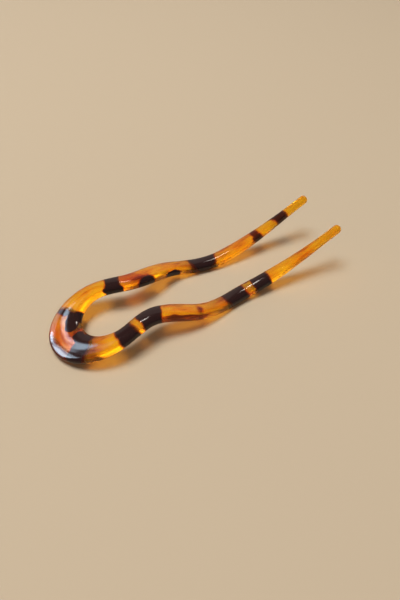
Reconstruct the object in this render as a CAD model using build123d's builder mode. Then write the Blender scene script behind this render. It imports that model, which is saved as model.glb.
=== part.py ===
from build123d import *
from math import cos, pi, radians, sin, sqrt, tan
import os

# A one-piece hair fork: a U cut from one sheet, pressed to a wave and rubbed round on every
# edge. Millimetres, +Z up. It lies as it does on a table: the rim of the head and the dip of
# each prong touch the table, the head points along -X and the raised tips point along +X.
# The two prongs mirror each other about the XZ plane. The origin is on the table, under the
# middle of the finished fork.

# The middle line of the band seen from above, with X counted from the top of the U
reach = 103.3  # top of the U to the noses of the prongs
head_at, head_half = 13.8, 11.9  # where the head is widest, and its half width there
waist_at, waist_half = 28.0, 9.15  # where the prongs first draw together
belly_at, belly_half = 45.0, 11.95  # where they stand apart again
pinch_at, pinch_half = 65.5, 9.65  # where they draw together before the tips
tip_half = 10.2  # half the distance between the noses

# The wave of the sheet seen from the side: heights are of the middle of the sheet
head_tilt = 16.5  # degrees that the head rises from its rim
hump_at, hump_height = 24.3, 8.75
dip_at = 57.6
tip_height, tip_tilt = 16.2, 24.7

# The width of the band, at distances along its middle line from the top of the U
head_band = 12.1
neck_from_top, neck_band = 24.8, 6.0
swell_from_top, swell_band = 42.5, 6.9
shank_from_top, shank_band = 56.0, 5.6
taper_from_top, taper_length = 73.5, 34.5
tip_band = 3.0

# The sheet and its rounded edges
sheet = 4.1
tip_sheet = 3.2  # the sheet is thinned from the dip to the tips
edge_round = 1.85
nose_length = 1.5  # the straight end of each prong
nose_round = 1.4
fullest_round = 0.47  # a rounding takes at most this share of the band or of the sheet

# Number of sections that the body is drawn through: round each half of the head, from the
# head to the dip, and from the dip to the tip
head_steps, wave_steps, tip_steps = 5, 8, 8


def along(knots, place):
    """Value and slope, at a place, of a smooth curve through knots of (place, value, slope)."""
    for (x0, y0, m0), (x1, y1, m1) in zip(knots, knots[1:]):
        if place <= x1:
            break
    span = x1 - x0
    u = (place - x0) / span
    share = 3 * u**2 - 2 * u**3
    value = y0 + share * (y1 - y0) + span * (m0 * (u**3 - 2 * u**2 + u) + m1 * (u**3 - u**2))
    slope = 6 * (u - u**2) * (y1 - y0) / span + m0 * (3 * u**2 - 4 * u + 1) + m1 * (3 * u**2 - 2 * u)
    return value, slope


# The rim of the tilted head just touches the table, and so does the bottom of the dip
tilt = radians(head_tilt)
head_height = edge_round + (head_band / 2 - edge_round) * sin(tilt) + (sheet / 2 - edge_round) * cos(tilt)
dip_height = sheet / 2

plan = [
    (head_at, head_half, 0),
    (waist_at, waist_half, 0),
    (belly_at, belly_half, 0),
    (pinch_at, pinch_half, 0),
    (reach, tip_half, 0),
]
wave = [
    (0, head_height, tan(tilt)),
    (hump_at, hump_height, 0),
    (dip_at, dip_height, 0),
    (reach, tip_height, tan(radians(tip_tilt))),
]
width = [
    (0, head_band, 0),
    (neck_from_top, neck_band, 0),
    (swell_from_top, swell_band, 0),
    (shank_from_top, shank_band, 0),
    (taper_from_top, shank_band, 0),
    (taper_from_top + taper_length, tip_band, 0),
    (taper_from_top + taper_length + reach, tip_band, 0),
]
thickness = [(0, sheet, 0), (dip_at, sheet, 0), (reach, tip_sheet, 0)]

# Length of the middle line round half of the head, which is a quarter of an oval
head_arc = pi / 2 * sqrt((head_at**2 + head_half**2) / 2)


def head_place(turn):
    """Point, heading and distance from the top, at a turn in degrees round the head."""
    a = radians(turn)
    point = (head_at * (1 - cos(a)), head_half * sin(a))
    return point, (head_at * sin(a), head_half * cos(a)), head_arc * turn / 90


def prong_place(x):
    """The same, on a prong at a distance x from the top."""
    y, slope = along(plan, x)
    return (x, y), (1, slope), head_arc + x - head_at


def mirrored(place):
    """The same place on the other prong, with its heading reversed."""
    (x, y), (heading_x, heading_y), from_top = place
    return (x, -y), (-heading_x, heading_y), from_top


def section_plane(place):
    """Plane of a cross section: local X across the band, local Y out of the sheet."""
    (x, y), (heading_x, heading_y), from_top = place
    z, slope = along(wave, x)
    heading = Vector(heading_x, heading_y).normalized()
    across = Vector(-heading.Y, heading.X, -slope * heading.Y)
    out_of_sheet = Vector(-slope, 0, 1)
    return Plane(origin=(x, y, z), x_dir=across, z_dir=across.cross(out_of_sheet))


def steps(first, last, count):
    """Evenly spaced places after the first, up to the last."""
    return [first + (last - first) * (k + 1) / count for k in range(count)]


half = [head_place(turn) for turn in steps(0, 90, head_steps)]
half += [prong_place(x) for x in steps(head_at, dip_at, wave_steps)]
half += [prong_place(x) for x in steps(dip_at, reach, tip_steps)]
places = [mirrored(place) for place in reversed(half)] + [head_place(0)] + half

with BuildPart() as hair_fork:
    for place in places:
        (x, y), heading, from_top = place
        across = along(width, from_top)[0]
        depth = along(thickness, x)[0]
        with BuildSketch(section_plane(place)):
            RectangleRounded(across, depth, min(edge_round, fullest_round * min(across, depth)))
    loft()
    for end in hair_fork.faces().sort_by(Axis.X)[-2:]:
        extrude(end, amount=nose_length)
    noses = hair_fork.faces().sort_by(Axis.X)[-2:]
    fillet(noses.edges(), radius=min(nose_round, nose_length, fullest_round * min(tip_band, tip_sheet)))

box = hair_fork.part.bounding_box()
hair_fork.part.move(Location((-box.center().X, 0, -box.min.Z)))
hair_fork.part.label = "hair_fork"

os.makedirs("parts", exist_ok=True)
export_step(hair_fork.part, "parts/hair_fork.step")
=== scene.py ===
from collections import namedtuple
from math import copysign, cos, pi, radians, sin, sqrt, tan

import bpy
from mathutils import Matrix, Vector


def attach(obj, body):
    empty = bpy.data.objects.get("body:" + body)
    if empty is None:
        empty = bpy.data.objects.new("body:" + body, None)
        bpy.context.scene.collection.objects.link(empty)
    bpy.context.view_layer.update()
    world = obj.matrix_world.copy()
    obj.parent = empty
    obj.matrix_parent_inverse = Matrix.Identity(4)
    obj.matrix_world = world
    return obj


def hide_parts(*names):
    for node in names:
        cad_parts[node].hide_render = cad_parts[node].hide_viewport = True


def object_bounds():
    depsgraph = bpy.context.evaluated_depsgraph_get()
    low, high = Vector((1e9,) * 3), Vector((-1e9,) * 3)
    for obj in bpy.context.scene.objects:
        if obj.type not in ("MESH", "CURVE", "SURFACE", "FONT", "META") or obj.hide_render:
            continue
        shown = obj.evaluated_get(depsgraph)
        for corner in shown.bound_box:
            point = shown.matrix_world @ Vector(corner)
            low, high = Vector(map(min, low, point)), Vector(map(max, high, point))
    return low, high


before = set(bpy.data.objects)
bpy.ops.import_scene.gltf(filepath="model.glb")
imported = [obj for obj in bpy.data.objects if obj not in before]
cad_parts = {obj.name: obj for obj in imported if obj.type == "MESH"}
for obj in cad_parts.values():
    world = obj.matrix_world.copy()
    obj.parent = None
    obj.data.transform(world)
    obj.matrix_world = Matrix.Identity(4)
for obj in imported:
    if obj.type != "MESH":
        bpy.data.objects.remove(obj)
cad_low, cad_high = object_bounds()

# A one-piece hair fork of tortoiseshell acetate, drawn from the same curves as its solid.
# Lengths below are in millimetres, as on the drawing of the fork, and this turns them to metres
MM = 0.001

# The middle line of the band seen from above, with X counted from the top of the U
REACH = 103.3
HEAD_AT, HEAD_HALF = 13.8, 11.9
WAIST_AT, WAIST_HALF = 28.0, 9.15
BELLY_AT, BELLY_HALF = 45.0, 11.95
PINCH_AT, PINCH_HALF = 65.5, 9.65
TIP_HALF = 10.2

# The wave of the sheet seen from the side
HEAD_TILT = 16.5
HUMP_AT, HUMP_HEIGHT = 24.3, 8.75
DIP_AT = 57.6
TIP_HEIGHT, TIP_TILT = 16.2, 24.7

# The width of the band, at distances along its middle line from the top of the U
HEAD_BAND = 12.1
NECK_FROM_TOP, NECK_BAND = 24.8, 6.0
SWELL_FROM_TOP, SWELL_BAND = 42.5, 6.9
SHANK_FROM_TOP, SHANK_BAND = 56.0, 5.6
TAPER_FROM_TOP, TAPER_LENGTH = 73.5, 34.5
TIP_BAND = 3.0

# The sheet, its rounding and its noses
SHEET, TIP_SHEET = 4.1, 3.2
EDGE_ROUND = 1.85
NOSE_LENGTH, NOSE_ROUND = 1.5, 1.4

# How finely the body is drawn: a cross section every so often, and points round each one
STATION_STEP = 0.4
RING_POINTS = 56
NOSE_RINGS = 9
CROWN = 2.6  # power of the rounded cross section: 2 is an oval, more is squarer
SLANT = Vector((1.0, 1.7, 0))  # how far the dark patches lean between the upper and lower faces

# One dark patch of the shell. Places are a station in millimetres along the middle line, positive
# on the +Y prong and negative on the -Y prong, and a share across the band, from -1 at its inner
# edge to 1 at its outer edge. lean shifts the patch along the band by so many millimetres per
# share across. soft is the width of its edge in millimetres, and depth how dark it gets.
# In the names, near is the -Y prong and far the +Y prong.
Patch = namedtuple("Patch", "name station across half_length half_across lean soft depth")
ALL_ACROSS = 6.0
PATCHES = [
    Patch("head, inner far", 5.2, -0.5, 5.0, 0.38, 0.0, 1.0, 1.0),
    Patch("head, inner wall far", 8.2, -1.0, 3.3, 0.7, 0.0, 1.2, 1.0),
    Patch("head, outer corner far", 9.8, 0.0, 1.3, 0.85, 0.2, 1.3, 0.95),
    Patch("head, inner near", -6.5, -0.52, 4.5, 0.38, 0.2, 1.0, 1.0),
    Patch("head, inner wall near", -9.4, -1.0, 2.2, 0.5, 0.0, 1.2, 1.0),
    Patch("head, across near", -8.3, 0.35, 2.8, 1.0, 0.4, 1.2, 0.97),
    Patch("head, red strip", -0.9, -0.6, 2.2, 0.45, 0.0, 1.6, 0.27),
    Patch("head, smoky rim", -3.5, 0.98, 6.5, 0.42, 0.0, 2.6, 0.62),
    Patch("near neck, first", -22.7, 0.0, 2.7, ALL_ACROSS, 0.0, 1.4, 1.0),
    Patch("near neck, second", -32.45, 0.0, 3.85, ALL_ACROSS, 0.6, 1.5, 1.0),
    Patch("near outer strip", -41.6, 1.15, 10.0, 0.28, 0.0, 2.0, 0.6),
    Patch("near outer strip, core", -40.5, 1.15, 4.0, 0.22, 0.0, 2.0, 0.66),
    Patch("near belly spot", -49.4, 0.15, 1.0, 0.42, -0.3, 1.4, 0.5),
    Patch("near belly, inner line", -45.0, -0.62, 9.0, 0.07, 0.0, 2.0, 0.2),
    Patch("near dip", -65.6, 0.0, 4.5, ALL_ACROSS, -0.3, 1.8, 1.0),
    Patch("near after dip", -77.0, 0.0, 3.1, ALL_ACROSS, 0.0, 1.5, 1.0),
    Patch("near bridge, inner", -72.0, -0.95, 3.2, 0.4, 0.0, 1.6, 0.5),
    Patch("near tip streak", -139.3, 0.82, 1.8, 0.16, 54.0, 2.0, 0.22),
    Patch("far neck", 27.65, 0.0, 2.5, ALL_ACROSS, 0.0, 1.3, 1.0),
    Patch("far neck, inner", 27.7, -1.1, 3.3, 0.6, 0.0, 1.0, 1.0),
    Patch("far hump wedge", 39.1, -1.2, 3.0, 0.85, 1.0, 1.8, 0.98),
    Patch("far hump, red tail", 36.0, -0.36, 3.0, 0.24, 0.0, 1.8, 0.5),
    Patch("far hump smear", 33.8, 0.0, 3.7, 0.62, 0.3, 2.4, 0.3),
    Patch("far belly wedge", 50.0, -1.25, 3.7, 0.38, 0.0, 1.3, 0.95),
    Patch("far belly line", 53.5, -0.15, 0.5, 0.5, 5.9, 1.0, 0.14),
    Patch("far dip", 63.95, 0.45, 5.3, 2.1, 0.0, 1.8, 1.0),
    Patch("far shank, inner", 87.6, -1.1, 1.9, 0.8, 0.0, 1.1, 0.74),
    Patch("far shank, outer", 87.3, 0.1, 1.4, 1.0, 0.0, 1.3, 0.64),
    Patch("far shank line", 106.4, -0.5, 1.1, 0.45, 24.0, 1.5, 0.2),
    Patch("far tip band", 98.7, 0.0, 2.4, ALL_ACROSS, 0.0, 1.3, 0.73),
    Patch("far tip band, outer", 98.0, 0.8, 3.2, 0.6, 0.0, 1.2, 1.0),
    Patch("far tip edge", 105.0, 0.85, 3.2, 0.12, 0.0, 1.2, 0.25),
]

# How golden the amber is at stations along the fork: 0 is deep orange and 1 is light gold
AMBER_DRIFT = [
    (-112, 0.64),
    (-98, 0.56),
    (-84, 0.62),
    (-72, 0.6),
    (-62, 0.45),
    (-45, 0.55),
    (-30, 0.55),
    (-18, 0.55),
    (-12, 0.28),
    (0, 0.32),
    (7, 0.56),
    (14, 0.62),
    (24, 0.62),
    (33, 0.36),
    (46, 0.5),
    (58, 0.5),
    (72, 0.5),
    (84, 0.42),
    (96, 0.7),
    (112, 0.72),
]

# The colours of the amber, from the deepest orange, seen mostly where shade is painted on the +Y rim, to
# its lightest gold
AMBER_STOPS = [
    (0.0, (0.58, 0.15, 0.003)),
    (0.25, (0.88, 0.31, 0.005)),
    (0.5, (0.92, 0.45, 0.006)),
    (0.85, (0.97, 0.57, 0.012)),
]
# What is left of the amber's colour as a patch gets darker, and the brown of its middle
SHELL_STOPS = [
    (0.0, (1.0, 1.0, 1.0)),
    (0.25, (0.80, 0.42, 0.30)),
    (0.5, (0.24, 0.055, 0.035)),
    (0.75, (0.070, 0.024, 0.021)),
    (1.0, (0.035, 0.021, 0.025)),
]
PATCH_BROWN = (0.026, 0.0092, 0.0082)
BROWN_STARTS, BROWN_FULL = 0.6, 1.0  # how dark a patch is where its brown starts and is full

NOISE_MEAN = 0.5  # the middle value that a noise texture varies round

# The patches' edges wander over this range: millimetres along the band and a share across it
WANDER = (2.2, 0.4, 0.0)
WANDER_SCALE = 0.28
FLATTENED = (1.0, 1.0, 0.5)  # the pattern changes half as fast through the sheet

# Clouds and grain mottle the amber, and taking off their mean leaves its tone as it is
CLOUD_SCALE, CLOUD_WEIGHT = 0.13, 1.3
GRAIN_SCALE, GRAIN_WEIGHT = 0.9, 2.1
GRAIN_DRAWN_OUT = (0.16, 1.0, 0.6)  # the grain is drawn out along the band
MOTTLE_MEAN = NOISE_MEAN * (CLOUD_WEIGHT + GRAIN_WEIGHT)

# Painted shade and painted light: the amber is painted deeper at the rim on the +Y side of the band, as
# shade, and paler at the one on its -Y side, as light falling through it. The change of tone comes in
# between two shares across, counted towards +Y
SHADED_RIM_FROM, SHADED_RIM_TO, SHADED_RIM_TONE = 0.72, 1.02, -0.55
LIT_RIM_FROM, LIT_RIM_TO, LIT_RIM_TONE = -0.8, -1.04, 0.12

# The surface: slow ripples, scuffs that change the roughness of its gloss, and how clear it is
RIPPLE_SCALE, RIPPLE_STRENGTH, RIPPLE_HEIGHT = 0.35, 0.1, 0.05
SCUFF_SCALE, SCUFF_ROUGHNESS = 2.2, 0.06
GLOSS_ROUGHNESS = 0.08
ACETATE_IOR = 1.49
CLEARNESS = 0.88
OPAQUE_FROM, CLEAR_UNDER = 0.95, 0.35  # how dark a patch is where it is opaque and where it is clear

# The shadow that the fork casts
LAMP_TINT = (0.77, 0.55, 0.19)  # what one surface of the amber lets through of a lamp's light
PATCH_SHADOW = 0.6  # how strongly the dark patches show in the shadow on the floor
EDGE_ON, FACE_ON = 0.8, 0.15  # Layer Weight's Facing where no lamp light passes and where all does


def along(knots, place):
    """Value and slope, at a place, of a smooth curve through knots of (place, value, slope)."""
    for (x0, y0, m0), (x1, y1, m1) in zip(knots, knots[1:]):
        if place <= x1:
            break
    span = x1 - x0
    u = (place - x0) / span
    share = 3 * u**2 - 2 * u**3
    value = y0 + share * (y1 - y0) + span * (m0 * (u**3 - 2 * u**2 + u) + m1 * (u**3 - u**2))
    slope = 6 * (u - u**2) * (y1 - y0) / span + m0 * (3 * u**2 - 4 * u + 1) + m1 * (3 * u**2 - 2 * u)
    return value, slope


TILT = radians(HEAD_TILT)
# The height of the middle line at the top of the U, where the tilted rim rests on the floor
HEAD_HEIGHT = EDGE_ROUND + (HEAD_BAND / 2 - EDGE_ROUND) * sin(TILT) + (SHEET / 2 - EDGE_ROUND) * cos(TILT)
PLAN = [
    (HEAD_AT, HEAD_HALF, 0),
    (WAIST_AT, WAIST_HALF, 0),
    (BELLY_AT, BELLY_HALF, 0),
    (PINCH_AT, PINCH_HALF, 0),
    (REACH, TIP_HALF, 0),
]
WAVE = [
    (0, HEAD_HEIGHT, tan(TILT)),
    (HUMP_AT, HUMP_HEIGHT, 0),
    (DIP_AT, SHEET / 2, 0),
    (REACH, TIP_HEIGHT, tan(radians(TIP_TILT))),
]
# The last width is far past the tips, so that the band keeps it after the taper
WIDTH = [
    (0, HEAD_BAND, 0),
    (NECK_FROM_TOP, NECK_BAND, 0),
    (SWELL_FROM_TOP, SWELL_BAND, 0),
    (SHANK_FROM_TOP, SHANK_BAND, 0),
    (TAPER_FROM_TOP, SHANK_BAND, 0),
    (TAPER_FROM_TOP + TAPER_LENGTH, TIP_BAND, 0),
    (TAPER_FROM_TOP + TAPER_LENGTH + REACH, TIP_BAND, 0),
]
THICKNESS = [(0, SHEET, 0), (DIP_AT, SHEET, 0), (REACH, TIP_SHEET, 0)]
HEAD_ARC = pi / 2 * sqrt((HEAD_AT**2 + HEAD_HALF**2) / 2)
PRONG_END = HEAD_ARC + REACH - HEAD_AT  # distance from the top to where the straight nose starts
NOSE_START = PRONG_END + NOSE_LENGTH - NOSE_ROUND  # distance to where the nose starts to round


def middle_line(distance):
    """Point on the +Y half of the middle line, and its heading, at a distance from the top."""
    if distance <= HEAD_ARC:
        turn = pi / 2 * distance / HEAD_ARC
        x, y = HEAD_AT * (1 - cos(turn)), HEAD_HALF * sin(turn)
        heading = Vector((HEAD_AT * sin(turn), HEAD_HALF * cos(turn), 0))
    else:
        x = min(distance, PRONG_END) - HEAD_ARC + HEAD_AT
        y, slope = along(PLAN, x)
        heading = Vector((1, slope, 0))
    return x, y, heading.normalized()


def section(station):
    """Centre, across and outward directions, half width and half thickness at a station."""
    distance = abs(station)
    side = 1 if station >= 0 else -1
    x, y, heading = middle_line(distance)
    z, slope = along(WAVE, x)
    past = max(0, distance - PRONG_END)
    centre = Vector((x + past * cos(radians(TIP_TILT)), side * y, z + past * sin(radians(TIP_TILT))))
    across = Vector((-heading.y, side * heading.x, -slope * heading.y)).normalized()
    outward = Vector((-slope, 0, 1)).normalized()
    half_width = along(WIDTH, distance)[0] / 2
    half_sheet = along(THICKNESS, x)[0] / 2
    into_nose = distance - NOSE_START
    if into_nose > 0:
        inset = NOSE_ROUND - sqrt(max(0, NOSE_ROUND**2 - into_nose**2))
        half_width -= inset
        half_sheet -= inset
    return centre, across, outward, half_width, half_sheet


def stations():
    """Stations of the cross sections, from the nose of the -Y prong round to the other."""
    count = round(NOSE_START / STATION_STEP)
    half = [NOSE_START * k / count for k in range(count + 1)]
    half += [NOSE_START + NOSE_ROUND * sin(pi / 2 * (k + 1) / NOSE_RINGS) for k in range(NOSE_RINGS)]
    return [-d for d in reversed(half[1:])] + half


def squarer(share):
    """A sine or cosine changed so that the pair draws a squarer ring than an oval."""
    return copysign(abs(share) ** (2 / CROWN), share)


def ring():
    """Points round a cross section whose half width and half thickness are both 1."""
    turns = [2 * pi * k / RING_POINTS for k in range(RING_POINTS)]
    return [(squarer(cos(turn)), squarer(sin(turn))) for turn in turns]


def ring_faces(rows):
    """Faces between neighbouring rings, and a fan over each end round its middle point."""
    faces = []
    around = [(k, (k + 1) % RING_POINTS) for k in range(RING_POINTS)]
    for row in range(rows - 1):
        start = row * RING_POINTS
        for k, after in around:
            a, b = start + k, start + after
            faces.append((a, b, b + RING_POINTS, a + RING_POINTS))
    last = (rows - 1) * RING_POINTS
    first_middle = rows * RING_POINTS
    faces += [(first_middle, after, k) for k, after in around]
    faces += [(first_middle + 1, last + k, last + after) for k, after in around]
    return faces


def fork_mesh():
    """The body as one closed mesh, with each point's place kept on it in three ways.

    in_sheet is its station and its distances across and through the sheet. in_pattern is the
    place on the upper face that the slant of the patches carries it to, and half the thickness.
    in_band is that place's station and share across, and the point's own share across, counted
    towards +Y.
    """
    points, in_sheet, in_pattern, in_band = [], [], [], []
    shape = ring()
    places = stations()
    for station in places:
        centre, across, outward, half_width, half_sheet = section(station)
        slant_along, slant_across = SLANT.dot(across.cross(outward)), SLANT.dot(across)
        for u, v in shape:
            points.append(centre + across * (u * half_width) + outward * (v * half_sheet))
            in_sheet.append((station, u * half_width, v * half_sheet))
            down = (1 - v) / 2
            above = (station - slant_along * down, u * half_width - slant_across * down)
            in_pattern.append((*above, half_sheet))
            in_band.append((above[0], above[1] / half_width, u if station >= 0 else -u))
    for station in (places[0], places[-1]):
        points.append(section(station)[0])
        for values in (in_sheet, in_pattern, in_band):
            values.append((station, 0, 0))
    mesh = bpy.data.meshes.new("fork")
    mesh.from_pydata([p * MM for p in points], [], ring_faces(len(places)))
    for name, values in (("in_sheet", in_sheet), ("in_pattern", in_pattern), ("in_band", in_band)):
        kept = mesh.attributes.new(name, "FLOAT_VECTOR", "POINT")
        kept.data.foreach_set("vector", [n for value in values for n in value])
    mesh.polygons.foreach_set("use_smooth", [True] * len(mesh.polygons))
    mesh.update()
    return mesh


class Shader:
    """Adds nodes to one material and joins them."""

    # Places of the colour sockets on a Mix node, which has others with the same names
    MIX_FIRST, MIX_SECOND, MIX_RESULT = 6, 7, 2

    def __init__(self, name):
        self.material = bpy.data.materials.new(name)
        self.material.use_nodes = True
        self.tree = self.material.node_tree
        self.tree.nodes.clear()

    def feed(self, socket, value):
        """Link a socket to another one, or set it to a plain value."""
        if isinstance(value, bpy.types.NodeSocket):
            self.tree.links.new(value, socket)
        else:
            socket.default_value = value

    def add(self, kind, inputs=None, **settings):
        """A new node with its settings and inputs."""
        node = self.tree.nodes.new(kind)
        for name, value in settings.items():
            setattr(node, name, value)
        for name, value in (inputs or {}).items():
            self.feed(node.inputs[name], value)
        return node

    def math(self, operation, *values, kind="ShaderNodeMath"):
        """Result of an operation on sockets or plain numbers."""
        node = self.add(kind, operation=operation)
        for socket, value in zip(node.inputs, values):
            self.feed(socket, value)
        return node.outputs[0]

    def vector(self, operation, *values):
        """Result of an operation on vectors."""
        return self.math(operation, *values, kind="ShaderNodeVectorMath")

    def square(self, value):
        """A value times itself."""
        return self.math("MULTIPLY", value, value)

    def share(self, value, start, length):
        """How far a value is past a start, counted in a length."""
        return self.math("MULTIPLY_ADD", value, 1 / length, -start / length)

    def attribute(self, name):
        """What the mesh keeps under a name at each point."""
        return self.add("ShaderNodeAttribute", attribute_name=name).outputs["Vector"]

    def noise(self, place, scale, detail):
        """Outputs of a noise texture, which varies round NOISE_MEAN."""
        return self.add("ShaderNodeTexNoise", {"Vector": place, "Scale": scale, "Detail": detail}).outputs

    def ramp(self, factor, stops):
        """Colour along a row of (place, colour) stops."""
        node = self.add("ShaderNodeValToRGB", {"Fac": factor})
        node.color_ramp.interpolation = "EASE"
        elements = node.color_ramp.elements
        while len(elements) < len(stops):
            elements.new(0.5)
        for element, (place, colour) in zip(elements, stops):
            element.position = place
            element.color = (*colour, 1)
        return node.outputs["Color"]

    def smooth(self, value, low, high):
        """0 at low, 1 at high and a smooth step between them."""
        node = self.add("ShaderNodeMapRange", {"Value": value, "From Min": low, "From Max": high})
        node.interpolation_type = "SMOOTHSTEP"
        return node.outputs["Result"]

    def mix(self, factor, first, second, blend_type="MIX"):
        """Two colours mixed, the second one weighted by the factor."""
        node = self.add("ShaderNodeMix", data_type="RGBA", blend_type=blend_type)
        self.feed(node.inputs["Factor"], factor)
        self.feed(node.inputs[self.MIX_FIRST], first)
        self.feed(node.inputs[self.MIX_SECOND], second)
        return node.outputs[self.MIX_RESULT]

    def with_surface(self, surface):
        """The material, once its surface is joined to its output."""
        self.add("ShaderNodeOutputMaterial", {"Surface": surface})
        return self.material


def patch_field(shader, station, across, patch):
    """How dark one patch makes a place: 0 outside it and up to its depth inside."""
    leaned = shader.math("MULTIPLY_ADD", across, -patch.lean, station)
    lengthwise = shader.share(leaned, patch.station, patch.half_length)
    crosswise = shader.share(across, patch.across, patch.half_across)
    squares = shader.math("ADD", shader.square(lengthwise), shader.square(crosswise))
    soft = patch.soft / patch.half_length / 2
    inside = shader.smooth(shader.math("SQRT", squares), 1 + soft, 1 - soft)
    return shader.math("MULTIPLY", inside, patch.depth)


def darkness(shader, station, across):
    """How dark the patches make a place: the darkest one that covers it."""
    fields = [patch_field(shader, station, across, patch) for patch in PATCHES]
    dark = fields[0]
    for field in fields[1:]:
        dark = shader.math("MAXIMUM", dark, field)
    return dark


def amber_colour(shader, in_sheet, station, rim):
    """The amber between the patches, with its drift and mottle, painted shade on its +Y rim and painted
    light on its -Y rim.
    """
    flattened = shader.vector("MULTIPLY", in_sheet, FLATTENED)
    drawn_out = shader.vector("MULTIPLY", in_sheet, GRAIN_DRAWN_OUT)
    clouds = shader.noise(flattened, CLOUD_SCALE, detail=2.0)["Fac"]
    grain = shader.noise(drawn_out, GRAIN_SCALE, detail=3.0)["Fac"]
    clouds = shader.math("MULTIPLY", clouds, CLOUD_WEIGHT)
    grain = shader.math("MULTIPLY", grain, GRAIN_WEIGHT)
    mottle = shader.math("SUBTRACT", shader.math("ADD", clouds, grain), MOTTLE_MEAN)

    first = AMBER_DRIFT[0][0]
    length = AMBER_DRIFT[-1][0] - first
    stops = [((place - first) / length, (tone,) * 3) for place, tone in AMBER_DRIFT]
    drift = shader.ramp(shader.share(station, first, length), stops)

    # painted shade darkens the +Y rim and painted light brightens the -Y rim
    painted_shade_rim = shader.smooth(rim, SHADED_RIM_FROM, SHADED_RIM_TO)
    painted_light_rim = shader.smooth(rim, LIT_RIM_FROM, LIT_RIM_TO)
    tone = shader.math("ADD", mottle, drift)
    tone = shader.math("MULTIPLY_ADD", painted_shade_rim, SHADED_RIM_TONE, tone)
    tone = shader.math("MULTIPLY_ADD", painted_light_rim, LIT_RIM_TONE, tone)
    return shader.ramp(tone, AMBER_STOPS)


def lamp_light_through(shader, shade):
    """The surface as a lamp's light meets it, which tints the shadow on the floor."""
    facing = shader.add("ShaderNodeLayerWeight", {"Blend": 0.5}).outputs["Facing"]
    through = shader.smooth(facing, EDGE_ON, FACE_ON)
    dimmed = shader.mix(PATCH_SHADOW, (1, 1, 1, 1), shade)
    tinted = shader.mix(1.0, dimmed, (*LAMP_TINT, 1), "MULTIPLY")
    tint = shader.mix(1.0, tinted, through, "MULTIPLY")
    return shader.add("ShaderNodeBsdfTransparent", {"Color": tint}).outputs[0]


def shell_material():
    """Polished acetate: clear amber with dark patches that go through the sheet."""
    shader = Shader("tortoiseshell acetate")
    in_sheet = shader.attribute("in_sheet")
    in_pattern = shader.vector("MULTIPLY", shader.attribute("in_pattern"), FLATTENED)
    wobble = shader.noise(in_pattern, WANDER_SCALE, detail=1.0)["Color"]
    wobble = shader.vector("SUBTRACT", wobble, (NOISE_MEAN,) * 3)
    wobble = shader.vector("MULTIPLY", wobble, WANDER)
    in_band = shader.vector("ADD", shader.attribute("in_band"), wobble)
    axes = shader.add("ShaderNodeSeparateXYZ", {0: in_band}).outputs
    station, across, rim = axes["X"], axes["Y"], axes["Z"]

    dark = darkness(shader, station, across)
    shade = shader.ramp(dark, SHELL_STOPS)
    stained = shader.mix(1.0, amber_colour(shader, in_sheet, station, rim), shade, "MULTIPLY")
    colour = shader.mix(shader.smooth(dark, BROWN_STARTS, BROWN_FULL), stained, (*PATCH_BROWN, 1))

    ripples = shader.noise(in_sheet, RIPPLE_SCALE, detail=1.0)["Fac"]
    bump = shader.add(
        "ShaderNodeBump", {"Strength": RIPPLE_STRENGTH, "Distance": RIPPLE_HEIGHT * MM, "Height": ripples}
    )
    scuffs = shader.noise(in_sheet, SCUFF_SCALE, detail=3.0)["Fac"]
    clear = shader.smooth(dark, OPAQUE_FROM, CLEAR_UNDER)
    body = shader.add(
        "ShaderNodeBsdfPrincipled",
        {
            "Base Color": colour,
            "Roughness": shader.math("MULTIPLY_ADD", scuffs, SCUFF_ROUGHNESS, GLOSS_ROUGHNESS),
            "IOR": ACETATE_IOR,
            "Transmission Weight": shader.math("MULTIPLY", clear, CLEARNESS),
            "Normal": bump.outputs[0],
        },
    )
    lamp_ray = shader.add("ShaderNodeLightPath").outputs["Is Shadow Ray"]
    surface = shader.add(
        "ShaderNodeMixShader", {0: lamp_ray, 1: body.outputs[0], 2: lamp_light_through(shader, shade)}
    )
    return shader.with_surface(surface.outputs[0])


def matt_material(name, colour):
    """A plain colour with hardly any gloss."""
    shader = Shader(name)
    body = shader.add(
        "ShaderNodeBsdfPrincipled",
        {"Base Color": (*colour, 1), "Roughness": 1.0, "Specular IOR Level": 0.1},
    )
    return shader.with_surface(body.outputs[0])


def linked(name, data):
    """A new object in the scene."""
    piece = bpy.data.objects.new(name, data)
    bpy.context.scene.collection.objects.link(piece)
    return piece


# The fork
mesh = fork_mesh()
xs = [v.co.x for v in mesh.vertices]
to_row = Vector(((cad_low.x + cad_high.x) / 2 - (min(xs) + max(xs)) / 2, 0, 0))
mesh.transform(Matrix.Translation(to_row))
mesh.materials.append(shell_material())
fork = linked("fork", mesh)
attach(fork, "root")
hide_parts("hair_fork")

# The floor, in metres
FLOOR_COLOUR = (0.45, 0.375, 0.285)
FLOOR_HALF = 3.0
floor_corners = [(x * FLOOR_HALF, y * FLOOR_HALF, 0) for x, y in ((-1, -1), (1, -1), (1, 1), (-1, 1))]
floor_mesh = bpy.data.meshes.new("floor")
floor_mesh.from_pydata(floor_corners, [], [(0, 1, 2, 3)])
floor_mesh.materials.append(matt_material("pale floor", FLOOR_COLOUR))
floor = linked("floor", floor_mesh)

# The camera, at the photograph's angle. Its heading is counted from +X towards +Y
LOOK_DOWN, HEADING, ROLL = 47.79, 59.0, 1.47
TARGET = Vector((48.7, -3.7, 0)) * MM + to_row
CAMERA_DISTANCE = 190.2 * MM
NEAR_CLIP = 5 * MM
FOCAL_PX = 520
PICTURE_HEIGHT_PX = 600
SENSOR_HEIGHT = 36


def direction(azimuth, elevation):
    """Direction at an angle in degrees from +X towards +Y, and at one up from the floor."""
    azimuth, elevation = radians(azimuth), radians(elevation)
    return Vector((cos(elevation) * cos(azimuth), cos(elevation) * sin(azimuth), sin(elevation)))


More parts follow.
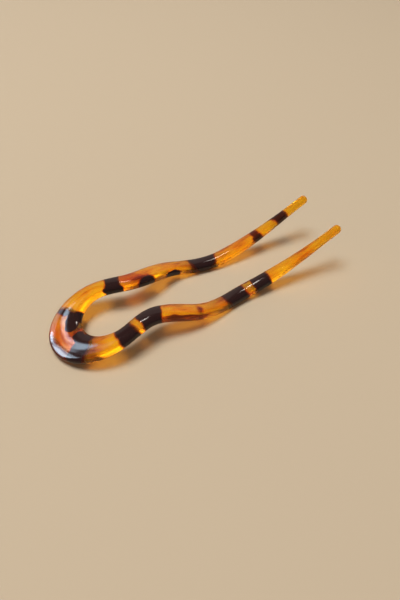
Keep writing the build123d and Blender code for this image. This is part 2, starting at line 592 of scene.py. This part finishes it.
def aim(forward, roll=0.0):
    """Rotation that points a camera or light along a direction, with its top up."""
    back = -forward.normalized()
    right = Vector((0, 0, 1)).cross(back).normalized()
    up = back.cross(right)
    turned = Matrix.Rotation(roll, 3, back)
    return (turned @ Matrix((right, up, back)).transposed()).to_euler()


camera_data = bpy.data.cameras.new("camera")
camera_data.sensor_fit = "VERTICAL"
camera_data.sensor_height = SENSOR_HEIGHT
camera_data.lens = SENSOR_HEIGHT * FOCAL_PX / PICTURE_HEIGHT_PX
camera_data.clip_start = NEAR_CLIP
camera = linked("camera", camera_data)
looking = direction(HEADING, -LOOK_DOWN)
camera.location = TARGET - looking * CAMERA_DISTANCE
camera.rotation_euler = aim(looking, radians(ROLL))
bpy.context.scene.camera = camera

# The lights: oblong ones that face the fork. rays says where one shows: glossy lights show only in
# the gloss, transmission lights only through the amber, and the diffuse light only on what is matt.
# azimuth and elevation are in degrees, and distance, width and height in metres
SoftLight = namedtuple("SoftLight", "name rays azimuth elevation distance width height brightness colour")
DAYLIGHT = (0.66, 0.84, 1.0)
LAMPLIGHT = (1.0, 0.95, 0.88)
LIGHTS = [
    SoftLight("window, left", "glossy", 155, 21.5, 1.3, 0.72, 0.89, 5.5, DAYLIGHT),
    SoftLight("window, left, bright sky", "glossy", 156, 22.5, 1.29, 0.54, 0.46, 6, DAYLIGHT),
    SoftLight("window, right", "glossy", 132, 10, 1.3, 0.24, 0.56, 8, DAYLIGHT),
    SoftLight("window, corner", "glossy", 134, 43, 1.32, 0.20, 0.10, 3.5, DAYLIGHT),
    SoftLight("window, surround", "glossy", 124, 12, 1.4, 0.70, 0.95, 1.5, DAYLIGHT),
    SoftLight("wall above the window", "glossy", 138, 55, 1.5, 0.60, 0.40, 0.8, DAYLIGHT),
    SoftLight("window, upper pane", "glossy", 124, 45, 1.3, 0.145, 0.055, 9, DAYLIGHT),
    SoftLight("window, side pane", "glossy", 118.8, 41, 1.32, 0.045, 0.14, 10, DAYLIGHT),
    SoftLight("ceiling lamp", "glossy", 63.0, 60.5, 1.6, 0.30, 0.10, 14, LAMPLIGHT),
    SoftLight("room behind", "glossy", 64, 26, 1.8, 2.6, 1.7, 0.28, LAMPLIGHT),
    SoftLight("glow through the amber", "transmission", 132, 27, 1.5, 2.2, 1.5, 1.25, LAMPLIGHT),
    SoftLight("glow behind the prongs", "transmission", 75, 30, 1.5, 1.6, 1.4, 1.15, LAMPLIGHT),
    SoftLight("glow overhead", "transmission", 59, 80, 1.5, 1.8, 1.6, 1.3, LAMPLIGHT),
    SoftLight("key", "diffuse", 128, 77, 1.4, 0.6, 0.6, 14.5, LAMPLIGHT),
]
ENERGY_PER_AREA = 4  # energy that gives one square metre of a light's face a brightness of 1


def place_light(light):
    """Put one light in the scene."""
    data = bpy.data.lights.new(light.name, "AREA")
    data.shape = "RECTANGLE"
    data.size, data.size_y = light.width, light.height
    data.energy = light.brightness * ENERGY_PER_AREA * light.width * light.height
    data.color = light.colour
    placed = linked(light.name, data)
    towards = direction(light.azimuth, light.elevation)
    placed.location = towards * light.distance
    placed.rotation_euler = aim(-towards)
    placed.visible_diffuse = light.rays == "diffuse"
    placed.visible_glossy = light.rays == "glossy"
    placed.visible_transmission = light.rays == "transmission"


for light in LIGHTS:
    place_light(light)

# The studio's own faint light, and how the picture is developed
STUDIO_COLOUR = (0.95, 0.97, 1.0)
STUDIO_STRENGTH = 0.2
world = bpy.data.worlds.new("studio")
world.use_nodes = True
background = world.node_tree.nodes["Background"].inputs
background["Color"].default_value = (*STUDIO_COLOUR, 1)
background["Strength"].default_value = STUDIO_STRENGTH
bpy.context.scene.world = world
bpy.context.scene.view_settings.view_transform = "Standard"
bpy.context.scene.view_settings.look = "Medium High Contrast"
